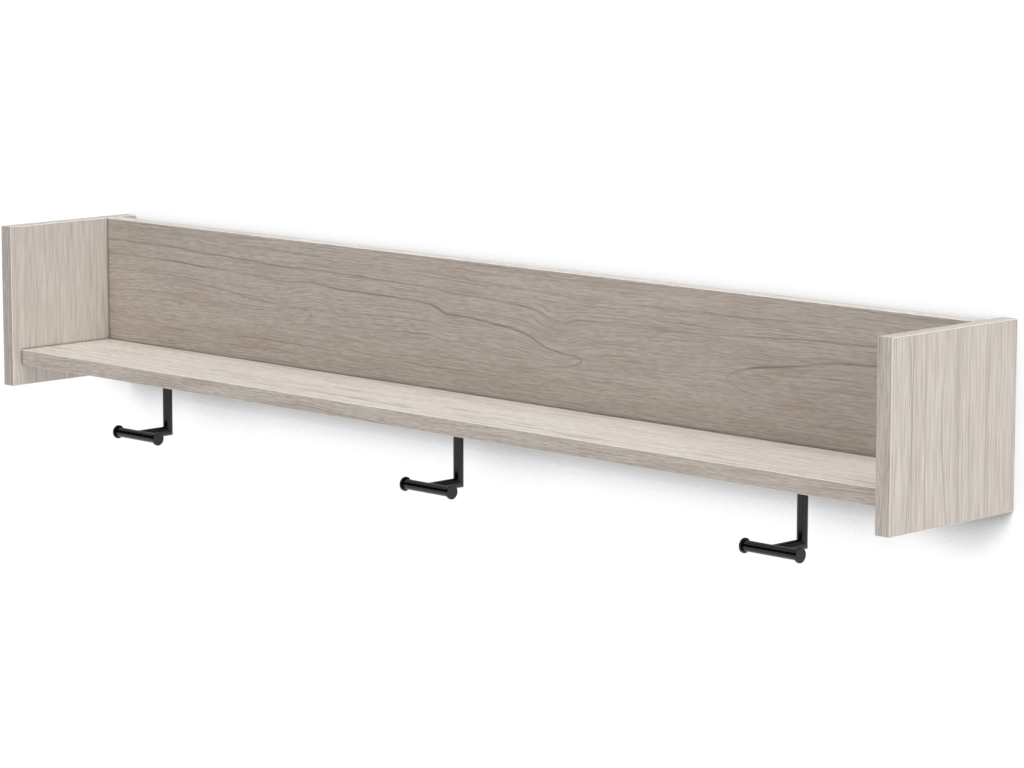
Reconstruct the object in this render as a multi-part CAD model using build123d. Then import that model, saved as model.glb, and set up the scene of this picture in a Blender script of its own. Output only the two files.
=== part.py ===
"""Wall shelf with a peg rail: four boards, cam fittings, a cleat hanger and rod hooks.

Units are millimetres. X runs along the shelf, +Y points into the wall, Z is up.
The origin lies on the wall plane, in the middle of the line of wall screws.
"""

import math
import os

from build123d import *

# ---------------------------------------------------------------- boards
overall_width = 1200.0  # over both side panels
side_depth = 168.0  # side panel, from the wall to its front edge
side_height = 168.0  # side panel, from its top to its bottom edge
board_thickness = 16.0  # melamine-faced board, the same for all four boards
band_thickness = 1.0  # edge band, glued to every edge that shows
band_rounding = 0.8  # radius on the long outer corners of a band
shelf_setback = 11.5  # shelf's front edge behind the side panels' front edges
shelf_top_drop = 130.5  # shelf's top face below the top of the side panels

# ---------------------------------------------------------------- cleat hanger
cleat_thickness = 22.0  # both cleats, bevelled at 45 degrees
cleat_play = 0.4  # each cleat stands off the face opposite by this much
cleat_top_drop = 13.6  # hanging cleat's top below the top of the back panel
hanging_face_height = 30.0  # front face of the hanging cleat, above its bevel
wall_back_height = 30.0  # rear face of the wall cleat, below its bevel
hanging_end_gap = 44.0  # hanging cleat's end to the side panel
wall_end_gap = 54.0  # wall cleat's end to the side panel
nose_flat = 2.0  # height taken off the sharp nose of each bevel
stud_spacing = 406.4  # inner pair of wall screw holes, one on each stud
plug_inset = 50.0  # outer wall screw holes from the wall cleat's ends
wall_hole_diameter = 5.5
wall_sink_diameter = 11.0

# ---------------------------------------------------------------- cam fittings
cam_diameter = 15.0
cam_beyond_bolt = 4.2  # the cam reaches this far past the bolt's axis
cam_setback = 24.0  # cam's centre from the end of its board
cam_sweep = 130.0  # turn from open to locked, in degrees
chamber_radius = 5.0  # hollow of the cam that holds the bolt's head
chamber_offset = 0.2  # the hollow is off centre, which draws the bolt in
head_room = 0.3  # play round the bolt's head and neck inside the cam
fit_gap = 0.1  # radial play of a cam or a bolt in its bore
bolt_head_diameter = 6.4
bolt_head_length = 3.0
bolt_head_chamfer = 1.4
bolt_neck_diameter = 4.2
bolt_shoulder_gap = 0.5  # bolt's shank begins this far outside the cam
bolt_shank_diameter = 7.0
bolt_thread_diameter = 5.0
bolt_thread_length = 11.0
bolt_point_chamfer = 1.0
shelf_cam_inset = 32.0  # cams from the shelf's front and rear edges
back_cam_inset = 37.0  # cams from the back panel's top and bottom edges

# ---------------------------------------------------------------- dowels
dowel_diameter = 8.0
dowel_length = 30.0
dowel_in_side = 10.0  # the length that stands in the side panel
dowel_chamfer = 1.0
glue_gap = 0.05  # radial glue line round a dowel or a screw

# ---------------------------------------------------------------- screws
joint_screw_count = 6  # from behind, through the back panel into the shelf
joint_screw_length = 50.0
joint_screw_diameter = 6.0
joint_screw_head = 10.0
joint_screw_inset = 60.0  # outermost screw from the side panel
joint_socket_width = 4.0  # across the flats of its hexagonal socket
cleat_screw_count = 6  # through the hanging cleat into the back panel
cleat_screw_diameter = 4.5
cleat_screw_head = 9.0
cleat_screw_inset = 40.0  # outermost screw from the hanging cleat's end
hook_screw_diameter = 3.8  # four through each hook plate into the shelf
hook_screw_head = 7.6
screw_cover = 3.0  # board left beyond the point of a cleat or hook screw
screw_tip_share = 0.8  # length of a screw's point in its own diameters
recess_depth = 1.6  # driver recess in the face of a screw or cam
recess_blade_share = 0.16  # width of a cross recess's blade in head diameters
recess_span_share = 0.6  # span of a cross recess in head diameters

# ---------------------------------------------------------------- hooks
hook_count = 3
hook_inset = 150.7  # outermost hook from the side panel
post_to_wall = 84.0  # axis of the post from the wall
rod_diameter = 10.0  # post, arm and peg are the same round rod
arm_reach = 40.0  # from the post's axis to the peg's axis
hook_drop = 61.5  # from the shelf's underside to the axis of arm and peg
cope_trim = 1.5  # feather edge ground off the arm where it meets the peg
peg_length = 66.0  # over both end discs
disc_diameter = 13.8
disc_thickness = 2.2
disc_rounding = 0.4
weld_leg = 2.5  # weld bead between post and plate
plate_length = 60.0
plate_width = 30.0
plate_thickness = 3.0
plate_corner = 5.0
plate_screw_edge = 8.0  # screw holes from the plate's edges

# ---------------------------------------------------------------- derived places
half_width = overall_width / 2
half_inner = half_width - board_thickness
wall_gap = cleat_thickness + cleat_play

screw_line = 0.0
wall_cleat_bottom = screw_line - wall_back_height / 2
wall_bevel_low = wall_cleat_bottom + wall_back_height
wall_bevel_high = wall_bevel_low + cleat_thickness
hanging_bevel_high = wall_bevel_high + cleat_play
hanging_bevel_low = hanging_bevel_high - cleat_thickness
hanging_top = hanging_bevel_high + hanging_face_height

top = hanging_top + cleat_top_drop
bottom = top - side_height
shelf_top = top - shelf_top_drop
shelf_under = shelf_top - board_thickness
shelf_middle = (shelf_top + shelf_under) / 2

side_front = -side_depth
shelf_front = side_front + shelf_setback
back_rear = -wall_gap
back_front = back_rear - board_thickness
back_middle = (back_rear + back_front) / 2

hanging_half = half_inner - hanging_end_gap
wall_half = half_inner - wall_end_gap

bolt_depth = board_thickness / 2  # bolt's axis below the face that holds the cam
cam_height = bolt_depth + cam_beyond_bolt
head_radius = bolt_head_diameter / 2
neck_radius = bolt_neck_diameter / 2
shank_radius = bolt_shank_diameter / 2
thread_radius = bolt_thread_diameter / 2

rod_radius = rod_diameter / 2
post_y = -post_to_wall
peg_y = post_y - arm_reach
arm_z = shelf_under - hook_drop
plate_under = shelf_under - plate_thickness
cleat_screw_length = cleat_thickness + board_thickness - screw_cover
hook_screw_length = plate_thickness + board_thickness - screw_cover


def spread(count, reach):
    """Evenly spaced places from -reach to +reach."""
    if count == 1:
        return [0.0]
    step = 2 * reach / (count - 1)
    return [-reach + index * step for index in range(count)]


# ---------------------------------------------------------------- general shapes
def block(x_range, y_range, z_range):
    """A box between the given limits."""
    ranges = (x_range, y_range, z_range)
    corner = Pos(*(low for low, high in ranges))
    return corner * Box(*(high - low for low, high in ranges), align=Align.MIN)


def profile(*points):
    """A flat face through the points, each given as (radius, height)."""
    return make_face(Plane.XZ * Polyline(*points, close=True))


def turned(*points):
    """A body turned round the Z axis from its half outline."""
    return revolve(profile(*points), Axis.Z)


def pin(diameter, length):
    """A round pin that starts at the origin and runs along +X."""
    return Cylinder(
        diameter / 2,
        length,
        rotation=(0, 90, 0),
        align=(Align.CENTER, Align.CENTER, Align.MIN),
    )


def aim(place, outward, along=(1, 0, 0)):
    """Location whose +Z points outward and whose +X points along."""
    return Plane(origin=place, x_dir=along, z_dir=outward).location


def node(shapes):
    """Separate solids kept together as one node."""
    return Compound(children=list(shapes))


# ---------------------------------------------------------------- screws
def screw(head, shank, length):
    """A countersunk screw with a plain blank: head's face at Z 0, point towards -Z."""
    neck = (head - shank) / 2
    tip = screw_tip_share * shank
    return turned(
        (0, 0),
        (head / 2, 0),
        (shank / 2, -neck),
        (shank / 2, tip - length),
        (0, -length),
    )


def screw_bore(head, shank, length):
    """The countersunk bore that such a screw fills, glue line included."""
    neck = (head - shank) / 2
    wall = shank / 2 + glue_gap
    return turned(
        (0, 0),
        (wall + neck, 0),
        (wall, -neck),
        (wall, -length - glue_gap),
        (0, -length - glue_gap),
    )


def cross_recess(head):
    """Cutter for the cross-shaped driver recess of a screw or cam."""
    blade = Box(
        head * recess_span_share,
        head * recess_blade_share,
        2 * recess_depth,
    )
    return blade + Rot(0, 0, 90) * blade


def cross_screw(head, shank, length):
    """A countersunk wood screw with a cross recess."""
    return screw(head, shank, length) - cross_recess(head)


def socket_screw(head, shank, length):
    """A countersunk joint screw with a hexagonal socket."""
    hexagon = RegularPolygon(joint_socket_width / 2, 6, major_radius=False)
    return screw(head, shank, length) - extrude(hexagon, -2 * recess_depth)


# ---------------------------------------------------------------- cams, bolts and dowels
# The cam's own frame: driver face at Z 0 and looking +Z, axis on Z, bolt leaving along +X.
def cam():
    """A cam locked on its bolt, with the slot that the bolt's neck turns through."""
    rim = cam_diameter / 2
    slot_half = neck_radius + head_room
    entry = bolt_head_diameter + 2 * head_room
    body = Pos(0, 0, -cam_height / 2) * Cylinder(rim, cam_height)
    hollow = Pos(-chamber_offset, 0, -bolt_depth) * Cylinder(chamber_radius, entry)
    sector = profile(
        (0, -bolt_depth - slot_half),
        (2 * rim, -bolt_depth - slot_half),
        (2 * rim, -bolt_depth + slot_half),
        (0, -bolt_depth + slot_half),
    )
    slot = revolve(sector, Axis.Z, cam_sweep)
    locked = Pos(rim, 0, -bolt_depth) * Box(2 * rim, 2 * slot_half, 2 * slot_half)
    mouth = Rot(0, 0, cam_sweep) * Pos(rim, 0, -bolt_depth) * Box(2 * rim, entry, entry)
    return body - [hollow, slot, locked, mouth, cross_recess(cam_diameter)]


def cam_bore():
    """Blind bore for a cam, in the face of its board."""
    depth = cam_height + fit_gap
    return Pos(0, 0, -depth / 2) * Cylinder(cam_diameter / 2 + fit_gap, depth)


def bolt():
    """A cam bolt: head in the cam, shank in the board's end, thread in the side panel."""
    reach = math.sqrt(chamber_radius**2 - head_radius**2)
    seat = reach - chamber_offset - fit_gap
    shoulder = cam_diameter / 2 + bolt_shoulder_gap
    end = cam_setback + bolt_thread_length
    outline = Polyline(
        (seat - bolt_head_length, 0),
        (seat - bolt_head_length, head_radius - bolt_head_chamfer),
        (seat - bolt_head_length + bolt_head_chamfer, head_radius),
        (seat, head_radius),
        (seat + (head_radius - neck_radius) / 2, neck_radius),
        (shoulder, neck_radius),
        (shoulder, shank_radius),
        (cam_setback, shank_radius),
        (cam_setback, thread_radius),
        (end - bolt_point_chamfer, thread_radius),
        (end, thread_radius - bolt_point_chamfer),
        (end, 0),
        close=True,
    )
    return Pos(0, 0, -bolt_depth) * revolve(make_face(outline), Axis.X)


def bolt_bore():
    """Bore for the bolt's shank, from the cam out of the board's end."""
    bore = pin(bolt_shank_diameter + 2 * fit_gap, cam_setback)
    return Pos(0, 0, -bolt_depth) * bore


def thread_bore():
    """Bore for the bolt's thread, in the side panel."""
    bore = pin(bolt_thread_diameter + 2 * glue_gap, bolt_thread_length + glue_gap)
    return Pos(cam_setback, 0, -bolt_depth) * bore


def dowel():
    """A wood dowel across the joint plane at X 0, which faces the side panel along +X."""
    peg = Pos(dowel_in_side - dowel_length, 0, 0) * pin(dowel_diameter, dowel_length)
    return chamfer(peg.edges().filter_by(GeomType.CIRCLE), dowel_chamfer)


def dowel_bore():
    """Both blind bores of a dowel, in one piece."""
    length = dowel_length + 2 * glue_gap
    start = dowel_in_side - dowel_length - glue_gap
    return Pos(start, 0, 0) * pin(dowel_diameter + 2 * glue_gap, length)


# ---------------------------------------------------------------- where the fittings go
shelf_lines = (shelf_front + shelf_cam_inset, back_front - shelf_cam_inset)
back_lines = (bottom + back_cam_inset, top - back_cam_inset)


def shelf_cam_spots(side):
    """Cam frames under the shelf, at its left (-1) or right (+1) end."""
    x = side * (half_inner - cam_setback)
    return [aim((x, y, shelf_under), (0, 0, -1), (side, 0, 0)) for y in shelf_lines]


def back_cam_spots(side):
    """Cam frames in the rear of the back panel, at its left or right end."""
    x = side * (half_inner - cam_setback)
    return [aim((x, back_rear, z), (0, 1, 0), (side, 0, 0)) for z in back_lines]


def shelf_dowel_spot(side):
    """Dowel frame midway between the shelf's two cams."""
    return aim((side * half_inner, sum(shelf_lines) / 2, shelf_middle), (0, 0, 1), (side, 0, 0))


def back_dowel_spot(side):
    """Dowel frame midway between the back panel's two cams."""
    return aim((side * half_inner, back_middle, sum(back_lines) / 2), (0, 1, 0), (side, 0, 0))


hook_places = spread(hook_count, half_inner - hook_inset)
joint_screw_spots = [
    aim((x, back_rear, shelf_middle), (0, 1, 0))
    for x in spread(joint_screw_count, half_inner - joint_screw_inset)
]
cleat_screw_spots = [
    aim((x, -cleat_play, (hanging_top + hanging_bevel_high) / 2), (0, 1, 0))
    for x in spread(cleat_screw_count, hanging_half - cleat_screw_inset)
]
wall_hole_spots = [
    aim((x, -cleat_thickness, screw_line), (0, -1, 0))
    for half in (stud_spacing / 2, wall_half - plug_inset)
    for x in (-half, half)
]
plate_hole_places = [
    (along * (plate_length / 2 - plate_screw_edge), across * (plate_width / 2 - plate_screw_edge))
    for along in (-1, 1)
    for across in (-1, 1)
]


def hook_screw_spots(x):
    """Frames of the four screws of the hook at x."""
    return [aim((x + dx, post_y + dy, plate_under), (0, 0, -1)) for dx, dy in plate_hole_places]


# ---------------------------------------------------------------- boards and their bands
def band(x_range, y_range, z_range, outward, along):
    """An edge band: a strip with the two long corners of its outward face rounded."""
    strip = block(x_range, y_range, z_range)
    face = strip.faces().sort_by(outward)[-1]
    radius = min(band_rounding, 0.9 * band_thickness)
    return fillet(face.edges().filter_by(along), radius)


def side_x(side):
    """X limits of the left (-1) or right (+1) side panel."""
    return tuple(sorted((side * half_inner, side * half_width)))


def side_panel(side):
    """Board of a side panel, with the bores for the bolts and dowels."""
    board = block(
        side_x(side),
        (side_front + band_thickness, 0),
        (bottom + band_thickness, top - band_thickness),
    )
    cam_spots = shelf_cam_spots(side) + back_cam_spots(side)
    dowel_spots = (shelf_dowel_spot(side), back_dowel_spot(side))
    bores = [spot * thread_bore() for spot in cam_spots]
    return board - bores - [spot * dowel_bore() for spot in dowel_spots]


def side_front_band(side):
    """Band on the front edge of a side panel, over its full height."""
    depth = (side_front, side_front + band_thickness)
    return band(side_x(side), depth, (bottom, top), -Axis.Y, Axis.Z)


def side_top_band(side):
    """Band on the top edge of a side panel, behind the front band."""
    depth = (side_front + band_thickness, 0)
    return band(side_x(side), depth, (top - band_thickness, top), Axis.Z, Axis.Y)


def side_bottom_band(side):
    """Band on the bottom edge of a side panel, behind the front band."""
    depth = (side_front + band_thickness, 0)
    return band(side_x(side), depth, (bottom, bottom + band_thickness), -Axis.Z, Axis.Y)


def shelf_board():
    """Shelf board, bored for its cams, bolts, dowels, joint screws and hook screws."""
    board = block(
        (-half_inner, half_inner),
        (shelf_front + band_thickness, back_front),
        (shelf_under, shelf_top),
    )
    bores = []
    for side in (-1, 1):
        for spot in shelf_cam_spots(side):
            bores += [spot * cam_bore(), spot * bolt_bore()]
        bores.append(shelf_dowel_spot(side) * dowel_bore())
    bore = screw_bore(joint_screw_head, joint_screw_diameter, joint_screw_length)
    bores += [spot * bore for spot in joint_screw_spots]
    bore = screw_bore(hook_screw_head, hook_screw_diameter, hook_screw_length)
    for x in hook_places:
        bores += [spot * bore for spot in hook_screw_spots(x)]
    return board - bores


def shelf_front_band():
    """Band on the shelf's front edge."""
    return band(
        (-half_inner, half_inner),
        (shelf_front, shelf_front + band_thickness),
        (shelf_under, shelf_top),
        -Axis.Y,
        Axis.X,
    )


def back_panel():
    """Back panel, bored for its cams, bolts, dowels and every screw that enters it."""
    board = block(
        (-half_inner, half_inner),
        (back_front, back_rear),
        (bottom + band_thickness, top - band_thickness),
    )
    bores = []
    for side in (-1, 1):
        for spot in back_cam_spots(side):
            bores += [spot * cam_bore(), spot * bolt_bore()]
        bores.append(back_dowel_spot(side) * dowel_bore())
    bore = screw_bore(joint_screw_head, joint_screw_diameter, joint_screw_length)
    bores += [spot * bore for spot in joint_screw_spots]
    bore = screw_bore(cleat_screw_head, cleat_screw_diameter, cleat_screw_length)
    bores += [spot * bore for spot in cleat_screw_spots]
    return board - bores


def back_band(z_range, outward):
    """Band on the top or bottom edge of the back panel."""
    return band((-half_inner, half_inner), (back_front, back_rear), z_range, outward, Axis.X)


# ---------------------------------------------------------------- cleats
def cleat(half_length, *points):
    """A bevelled cleat: its section, given as (Y, Z) points, run along X."""
    section = make_face(Plane.YZ * Polyline(*points, close=True))
    return extrude(section, half_length, both=True)


def hanging_cleat():
    """Upper cleat, screwed to the back panel, with its nose down against the wall."""
    front, rear = back_rear, -cleat_play
    blank = cleat(
        hanging_half,
        (front, hanging_top),
        (front, hanging_bevel_high),
        (rear - nose_flat, hanging_bevel_low + nose_flat),
        (rear, hanging_bevel_low + nose_flat),
        (rear, hanging_top),
    )
    bore = screw_bore(cleat_screw_head, cleat_screw_diameter, cleat_screw_length)
    return blank - [spot * bore for spot in cleat_screw_spots]


def wall_cleat():
    """Lower cleat, screwed to the wall, with its nose up against the back panel."""
    front = -cleat_thickness
    blank = cleat(
        wall_half,
        (0, wall_cleat_bottom),
        (0, wall_bevel_low),
        (front + nose_flat, wall_bevel_high - nose_flat),
        (front, wall_bevel_high - nose_flat),
        (front, wall_cleat_bottom),
    )
    wall = wall_hole_diameter / 2
    rim = wall_sink_diameter / 2
    hole = turned(
        (0, 0),
        (rim, 0),
        (wall, wall - rim),
        (wall, -2 * cleat_thickness),
        (0, -2 * cleat_thickness),
    )
    return blank - [spot * hole for spot in wall_hole_spots]


# ---------------------------------------------------------------- hooks
mitre = Plane(origin=(0, post_y, arm_z), x_dir=(1, 0, 0), z_dir=(0, 1, 1))


def hook_plate():
    """Plate of a hook, countersunk from below for its four screws."""
    outline = RectangleRounded(plate_length, plate_width, plate_corner)
    plate = Pos(0, post_y, plate_under) * extrude(outline, plate_thickness)
    bore = screw_bore(hook_screw_head, hook_screw_diameter, hook_screw_length)
    return plate - [spot * bore for spot in hook_screw_spots(0)]


def hook_post():
    """Upright rod, square against the plate and mitred at the elbow."""
    low = arm_z - rod_diameter
    stock = aim((0, post_y, low), (1, 0, 0), (0, 0, 1)) * pin(rod_diameter, plate_under - low)
    return split(stock, bisect_by=mitre, keep=Keep.TOP)


def hook_peg_bar():
    """Cross bar of a hook, between its end discs."""
    length = peg_length - 2 * disc_thickness
    return Pos(-length / 2, peg_y, arm_z) * pin(rod_diameter, length)


def hook_arm():
    """Level rod, mitred at the elbow and coped round the peg."""
    front = peg_y + cope_trim
    length = post_y + rod_diameter - front
    stock = aim((0, front, arm_z), (0, 0, 1), (0, 1, 0)) * pin(rod_diameter, length)
    return split(stock, bisect_by=mitre, keep=Keep.BOTTOM) - hook_peg_bar()


def hook_discs():
    """The two discs that close the peg's ends."""
    disc = pin(disc_diameter, disc_thickness)
    disc = fillet(disc.edges().filter_by(GeomType.CIRCLE), disc_rounding)
    start = peg_length / 2 - disc_thickness
    return [Pos(x, peg_y, arm_z) * disc for x in (-peg_length / 2, start)]


def hook_weld():
    """Weld bead round the post, under the plate."""
    bead = turned((rod_radius, 0), (rod_radius + weld_leg, 0), (rod_radius, -weld_leg))
    return Pos(0, post_y, plate_under) * bead


def hook_screws():
    """The four screws of a hook."""
    blank = cross_screw(hook_screw_head, hook_screw_diameter, hook_screw_length)
    return [spot * blank for spot in hook_screw_spots(0)]


# ---------------------------------------------------------------- assembly
parts = {}
for side, name in ((-1, "left"), (1, "right")):
    parts[f"side_panel_{name}"] = side_panel(side)
    parts[f"side_front_band_{name}"] = side_front_band(side)
    parts[f"side_top_band_{name}"] = side_top_band(side)
    parts[f"side_bottom_band_{name}"] = side_bottom_band(side)

parts["shelf_board"] = shelf_board()
parts["shelf_front_band"] = shelf_front_band()
parts["back_panel"] = back_panel()
parts["back_top_band"] = back_band((top - band_thickness, top), Axis.Z)
parts["back_bottom_band"] = back_band((bottom, bottom + band_thickness), -Axis.Z)
parts["hanging_cleat"] = hanging_cleat()
parts["wall_cleat"] = wall_cleat()

all_shelf_cams = shelf_cam_spots(-1) + shelf_cam_spots(1)
all_back_cams = back_cam_spots(-1) + back_cam_spots(1)
parts["shelf_cams"] = node(spot * cam() for spot in all_shelf_cams)
parts["shelf_cam_bolts"] = node(spot * bolt() for spot in all_shelf_cams)
parts["shelf_dowels"] = node(shelf_dowel_spot(side) * dowel() for side in (-1, 1))
parts["back_cams"] = node(spot * cam() for spot in all_back_cams)
parts["back_cam_bolts"] = node(spot * bolt() for spot in all_back_cams)
parts["back_dowels"] = node(back_dowel_spot(side) * dowel() for side in (-1, 1))

joint_screw = socket_screw(joint_screw_head, joint_screw_diameter, joint_screw_length)
cleat_screw = cross_screw(cleat_screw_head, cleat_screw_diameter, cleat_screw_length)
parts["joint_screws"] = node(spot * joint_screw for spot in joint_screw_spots)
parts["cleat_screws"] = node(spot * cleat_screw for spot in cleat_screw_spots)

for number, x in enumerate(hook_places, start=1):
    parts[f"hook_{number}_plate"] = Pos(x, 0, 0) * hook_plate()
    parts[f"hook_{number}_post"] = Pos(x, 0, 0) * hook_post()
    parts[f"hook_{number}_arm"] = Pos(x, 0, 0) * hook_arm()
    parts[f"hook_{number}_peg"] = Pos(x, 0, 0) * hook_peg_bar()
    parts[f"hook_{number}_discs"] = node(Pos(x, 0, 0) * disc for disc in hook_discs())
    parts[f"hook_{number}_weld"] = Pos(x, 0, 0) * hook_weld()
    parts[f"hook_{number}_screws"] = node(Pos(x, 0, 0) * item for item in hook_screws())

os.makedirs("parts", exist_ok=True)
for name, shape in parts.items():
    export_step(shape, f"parts/{name}.step")
    print(f"{name}: {shape.volume:.0f} mm3")
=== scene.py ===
"""Looks of a wall shelf with three hooks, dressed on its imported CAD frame.

It is made of wood-grain melamine boards: a shelf and a back panel between two square side panels, with edge
bands, knock-down fittings, a pair of plywood cleats behind and three powder-coated steel hooks below.
Everything is in the row frame, in metres: X runs along the shelf, +Y goes into the wall and Z is up. The wall
plane is Y 0.
"""

import logging
import math
from dataclasses import dataclass
from enum import Enum

import bpy
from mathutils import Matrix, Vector

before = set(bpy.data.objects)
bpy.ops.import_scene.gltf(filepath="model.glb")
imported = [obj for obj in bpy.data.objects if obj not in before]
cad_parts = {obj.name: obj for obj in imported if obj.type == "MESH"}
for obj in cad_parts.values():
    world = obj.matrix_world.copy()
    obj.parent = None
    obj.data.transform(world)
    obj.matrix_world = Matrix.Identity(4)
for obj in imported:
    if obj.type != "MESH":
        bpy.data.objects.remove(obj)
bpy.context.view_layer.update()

LOG = logging.getLogger("wall_shelf")
MM = 0.001
WHITE = "#ffffff"

Socket = bpy.types.NodeSocket
Tree = bpy.types.NodeTree
Material = bpy.types.Material
Colour = tuple[float, float, float, float]
Triple = tuple[float, float, float]
Feed = Socket | float | tuple[float, ...]
Stops = tuple[tuple[float, float], ...]


# ---------------------------------------------------------------- colours and nodes
def linear(code: str) -> Colour:
    """Turns an sRGB hex colour into the linear RGBA that shaders read.

    Args:
        code: The colour, such as "#cfc6bc".

    Returns:
        Linear red, green and blue, and an alpha of 1.
    """
    parts = [int(code[i : i + 2], 16) / 255 for i in (1, 3, 5)]
    red, green, blue = (
        p / 12.92 if p <= 0.04045 else ((p + 0.055) / 1.055) ** 2.4 for p in parts
    )
    return (red, green, blue, 1.0)


def add(
    tree: Tree,
    kind: str,
    feeds: dict[str | int, Feed] | None = None,
    out: str | int = 0,
    stops: Stops = (),
    **settings: float | int | str | bool,
) -> Socket:
    """Adds one node with its settings, values and links.

    Args:
        tree: The node tree that gets the node.
        kind: The node's type without its "ShaderNode" prefix, such as "Math".
        feeds: Input name or number to a socket that is linked to it, or to a plain value.
        out: Name or number of the output that is wanted.
        stops: Places and grey values of a colour ramp, in order of place.
        **settings: Properties of the node itself, such as operation="ADD".

    Returns:
        The wanted output, or the first input of a node that has no outputs.
    """
    node = tree.nodes.new("ShaderNode" + kind)
    for name, value in settings.items():
        setattr(node, name, value)
    for name, value in (feeds or {}).items():
        if isinstance(value, Socket):
            tree.links.new(value, node.inputs[name])
        else:
            node.inputs[name].default_value = value
    for number, (place, grey) in enumerate(stops):
        band = node.color_ramp.elements
        stop = band[number] if number < len(band) else band.new(place)
        stop.position, stop.color = place, (grey, grey, grey, 1.0)
    return node.outputs[out] if node.outputs else node.inputs[0]


@dataclass(frozen=True)
class Grain:
    """A soft irregular pattern, longer along the pattern's X than across it. Sizes are in millimetres."""

    length: float  # size of one grain along X
    width: float  # size of one grain across X
    detail: float = 1.0  # levels of finer detail in it
    shift: float = 0.0  # moves the pattern, so that it differs from others of its size
    clip: tuple[float, float] | None = None  # raw values, round 0.5, that become 0 and 1


@dataclass(frozen=True)
class Layer:
    """One pass of ink or stain over a colour: where it lies, how strongly, and its own colour."""

    mask: Feed
    strength: float
    colour: Socket | str


class Sheet:
    """A new material with its surface shader and the coordinates that its patterns read."""

    def __init__(self, name: str, turn: Triple = (0.0, 0.0, 0.0)) -> None:
        """Starts the material.

        Args:
            name: The material's name.
            turn: Degrees that turn the object's axes onto the pattern's.
        """
        self.material = bpy.data.materials.new(name)
        self.material.use_nodes = True
        self.tree = self.material.node_tree
        self.tree.nodes.clear()
        shader = add(self.tree, "BsdfPrincipled")
        self.surface = shader.node
        add(self.tree, "OutputMaterial", {"Surface": shader})
        self.millimetres = add(
            self.tree,
            "Mapping",
            {
                "Vector": add(self.tree, "TexCoord", out="Object"),
                "Rotation": tuple(math.radians(a) for a in turn),
                "Scale": (1 / MM,) * 3,
            },
        )

    def grains(self, grain: Grain, shift: float = 0.0, along: Socket | None = None) -> Socket:
        """Draws a grain.

        Args:
            grain: Its sizes, detail and clip.
            shift: Moves the pattern further, so that two boards differ.
            along: Coordinates in millimetres that it follows, where they aren't the sheet's own.

        Returns:
            A socket with the pattern.
        """
        shift += grain.shift
        place = add(
            self.tree,
            "Mapping",
            {
                "Vector": along or self.millimetres,
                "Location": (shift, shift * 0.7, shift * 1.3),
                "Scale": (1 / grain.length, 1 / grain.width, 1 / grain.width),
            },
        )
        noise = add(
            self.tree, "TexNoise", {"Vector": place, "Scale": 1.0, "Detail": grain.detail}
        )
        if grain.clip is None:
            return noise
        low, high = grain.clip
        return add(self.tree, "MapRange", {"Value": noise, "From Min": low, "From Max": high})

    def printed(self, base: Socket | str, *layers: Layer) -> Socket:
        """Lays passes of ink or stain over a base colour, one after another.

        Args:
            base: The colour below them all, as a socket or an sRGB hex code.
            *layers: The passes, lowest first.

        Returns:
            The socket with the colour.
        """
        colour = linear(base) if isinstance(base, str) else base
        for layer in layers:
            share = add(
                self.tree, "Math", {0: layer.mask, 1: layer.strength}, operation="MULTIPLY"
            )
            ink = layer.colour
            colour = add(
                self.tree,
                "Mix",
                {"Factor": share, "A": colour, "B": linear(ink) if isinstance(ink, str) else ink},
                out="Result",
                data_type="RGBA",
            )
        return colour

    def facing(self, axis: int) -> Socket:
        """1 where the surface looks along an axis, either way, and 0 elsewhere.

        Args:
            axis: 0, 1 or 2 for X, Y or Z.

        Returns:
            The mask's socket.
        """
        normal = add(self.tree, "NewGeometry", out="True Normal")
        part = add(self.tree, "SeparateXYZ", {0: normal}, out=axis)
        cosine = add(self.tree, "Math", {0: part}, operation="ABSOLUTE")
        away, towards = 0.6, 0.8  # cosines of 53 and 37 degrees
        return add(
            self.tree, "MapRange", {"Value": cosine, "From Min": away, "From Max": towards}
        )

    def relief(self, height: Socket, depth: float, strength: float) -> None:
        """Gives the surface a bump.

        Args:
            height: The height, from 0 to 1.
            depth: What a height of 1 stands for, in millimetres.
            strength: How much of it shows.
        """
        bump = add(
            self.tree,
            "Bump",
            {"Height": height, "Strength": strength, "Distance": depth * MM},
        )
        self.tree.links.new(bump, self.surface.inputs["Normal"])

    def finish(
        self, colour: Socket | str, pattern: Socket, smooth: float, rough: float, **values: float
    ) -> Material:
        """Sets the shader's colour, roughness and constant values.

        Args:
            colour: The base colour, as a socket or an sRGB hex code.
            pattern: What the roughness follows, from 0 to 1.
            smooth: The roughness where the pattern is 0.
            rough: The roughness where the pattern is 1.
            **values: Constants for other inputs, such as Metallic or IOR.

        Returns:
            The finished material.
        """
        feeds = {
            "Base Color": linear(colour) if isinstance(colour, str) else colour,
            "Roughness": add(
                self.tree, "MapRange", {"Value": pattern, "To Min": smooth, "To Max": rough}
            ),
            **values,
        }
        for name, value in feeds.items():
            if isinstance(value, Socket):
                self.tree.links.new(value, self.surface.inputs[name])
            else:
                self.surface.inputs[name].default_value = value
        return self.material


# ---------------------------------------------------------------- finishes
class Lay(Enum):
    """How the grain lies on a board: degrees that turn its length onto the pattern's X, its width onto Y."""

    X_ACROSS_Y = (0.0, 0.0, 0.0)
    X_ACROSS_Z = (-90.0, 0.0, 0.0)
    Z_ACROSS_Y = (0.0, 90.0, 0.0)
    Z_ACROSS_X = (-90.0, 0.0, -90.0)
    Y_ACROSS_X = (0.0, 0.0, -90.0)


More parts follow.
